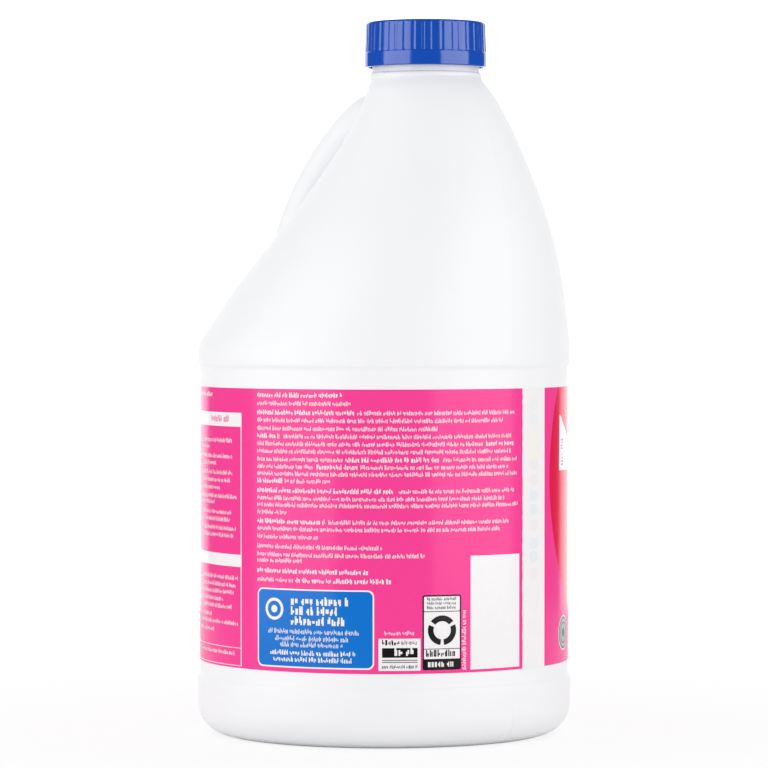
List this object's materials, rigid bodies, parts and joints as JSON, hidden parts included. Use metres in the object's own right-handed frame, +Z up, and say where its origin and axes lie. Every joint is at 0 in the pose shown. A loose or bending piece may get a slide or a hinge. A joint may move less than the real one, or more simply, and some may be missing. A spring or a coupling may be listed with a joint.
{
  "type": "bleach bottle",
  "caption": "Large round white plastic jug with a hollow handle behind the shoulder, an offset neck, a ribbed blue screw cap and a pink wrap-around label.",
  "frame": {"origin": "middle of the round body on the plane that the bottle stands on", "axes": "+Z up to the cap; +X towards the side that the neck leans to; the handle is at -X; XZ is the mould's parting plane"},
  "size_m": [0.1538, 0.1536, 0.2914],
  "materials": {
    "hdpe": "satin white blow-moulded polyethylene",
    "cap_plastic": "semi-gloss blue injection-moulded polypropylene",
    "liner_foam": "soft white foamed polyethylene",
    "seal_foil": "bright laminated foil",
    "label_film": "glossy printed film"
  },
  "bodies": {
    "jug": {"bottle": "hdpe", "label": "label_film", "foil_seal": "seal_foil"},
    "liner": {"cap_liner": "liner_foam"},
    "cap": {"cap": "cap_plastic"}
  },
  "joints": [
    {"name": "cap_rise", "type": "slide", "parent": "jug", "child": "liner", "axis": [0, 0, 1], "range_m": [0, 0.017]},
    {"name": "cap_turn", "type": "hinge", "parent": "liner", "child": "cap", "pos_m": [0.0254, 0, 0.28], "axis": [0, 0, 1], "range_deg": [0, 1440]}
  ],
  "couplings": [
    {"joint": "cap_rise", "follows": "cap_turn", "m_per_rad": 0.0006737}
  ]
}
